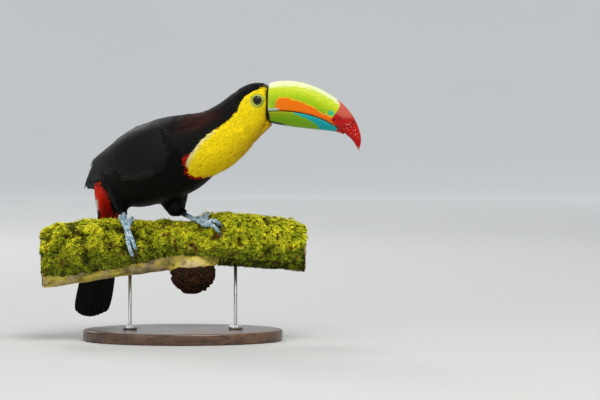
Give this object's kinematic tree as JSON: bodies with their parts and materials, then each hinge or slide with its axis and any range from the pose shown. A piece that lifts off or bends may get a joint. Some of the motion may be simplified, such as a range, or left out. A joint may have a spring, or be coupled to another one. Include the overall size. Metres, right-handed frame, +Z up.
{
  "type": "keel-billed toucan on a mossy branch, still display model",
  "caption": "Life-size toucan with a long keeled bill, leaning forward on a short cut length of mossy branch, which two rods hold over a flat oval base.",
  "frame": {"origin": "centre of the oval base's underside", "axes": "+X along the branch, towards the bird's bill; +Y behind the branch, on the tail's side; +Z up"},
  "size_m": [0.3981, 0.15, 0.3261],
  "materials": {
    "black_plumage": "soft black feathers, faint brown gloss",
    "bib_plumage": "short bright yellow feathers, black on crown and nape",
    "red_coverts": "soft red feathers",
    "upper_bill": "satin horn, yellow-green with an orange flame and a red tip",
    "lower_bill": "satin horn, olive green with a blue patch",
    "leg_skin": "pale blue scaly skin",
    "claw": "dark polished horn",
    "eye": "wet dark eye",
    "bark": "rough tan bark, dark at the stump",
    "moss": "yellow-green moss tufts",
    "stand_wood": "dark walnut, satin lacquer",
    "stand_steel": "brushed steel"
  },
  "bodies": {
    "root": {"head": "bib_plumage", "neck": "bib_plumage", "trunk": "black_plumage", "wing_right": "black_plumage", "wing_left": "black_plumage", "tail_coverts": "red_coverts", "tail": "black_plumage", "thigh_right": "black_plumage", "thigh_left": "black_plumage", "bill_upper": "upper_bill", "bill_lower": "lower_bill", "eye_right": "eye", "eye_left": "eye", "tarsus_right": "leg_skin", "tarsus_left": "leg_skin", "foot_right": "leg_skin", "foot_left": "leg_skin", "claw_right_1": "claw", "claw_right_2": "claw", "claw_right_3": "claw", "claw_right_4": "claw", "claw_left_1": "claw", "claw_left_2": "claw", "claw_left_3": "claw", "claw_left_4": "claw", "perch_branch": "bark", "perch_moss": "moss", "stand_base": "stand_wood", "stand_rod_left": "stand_steel", "stand_rod_right": "stand_steel"}
  },
  "joints": []
}
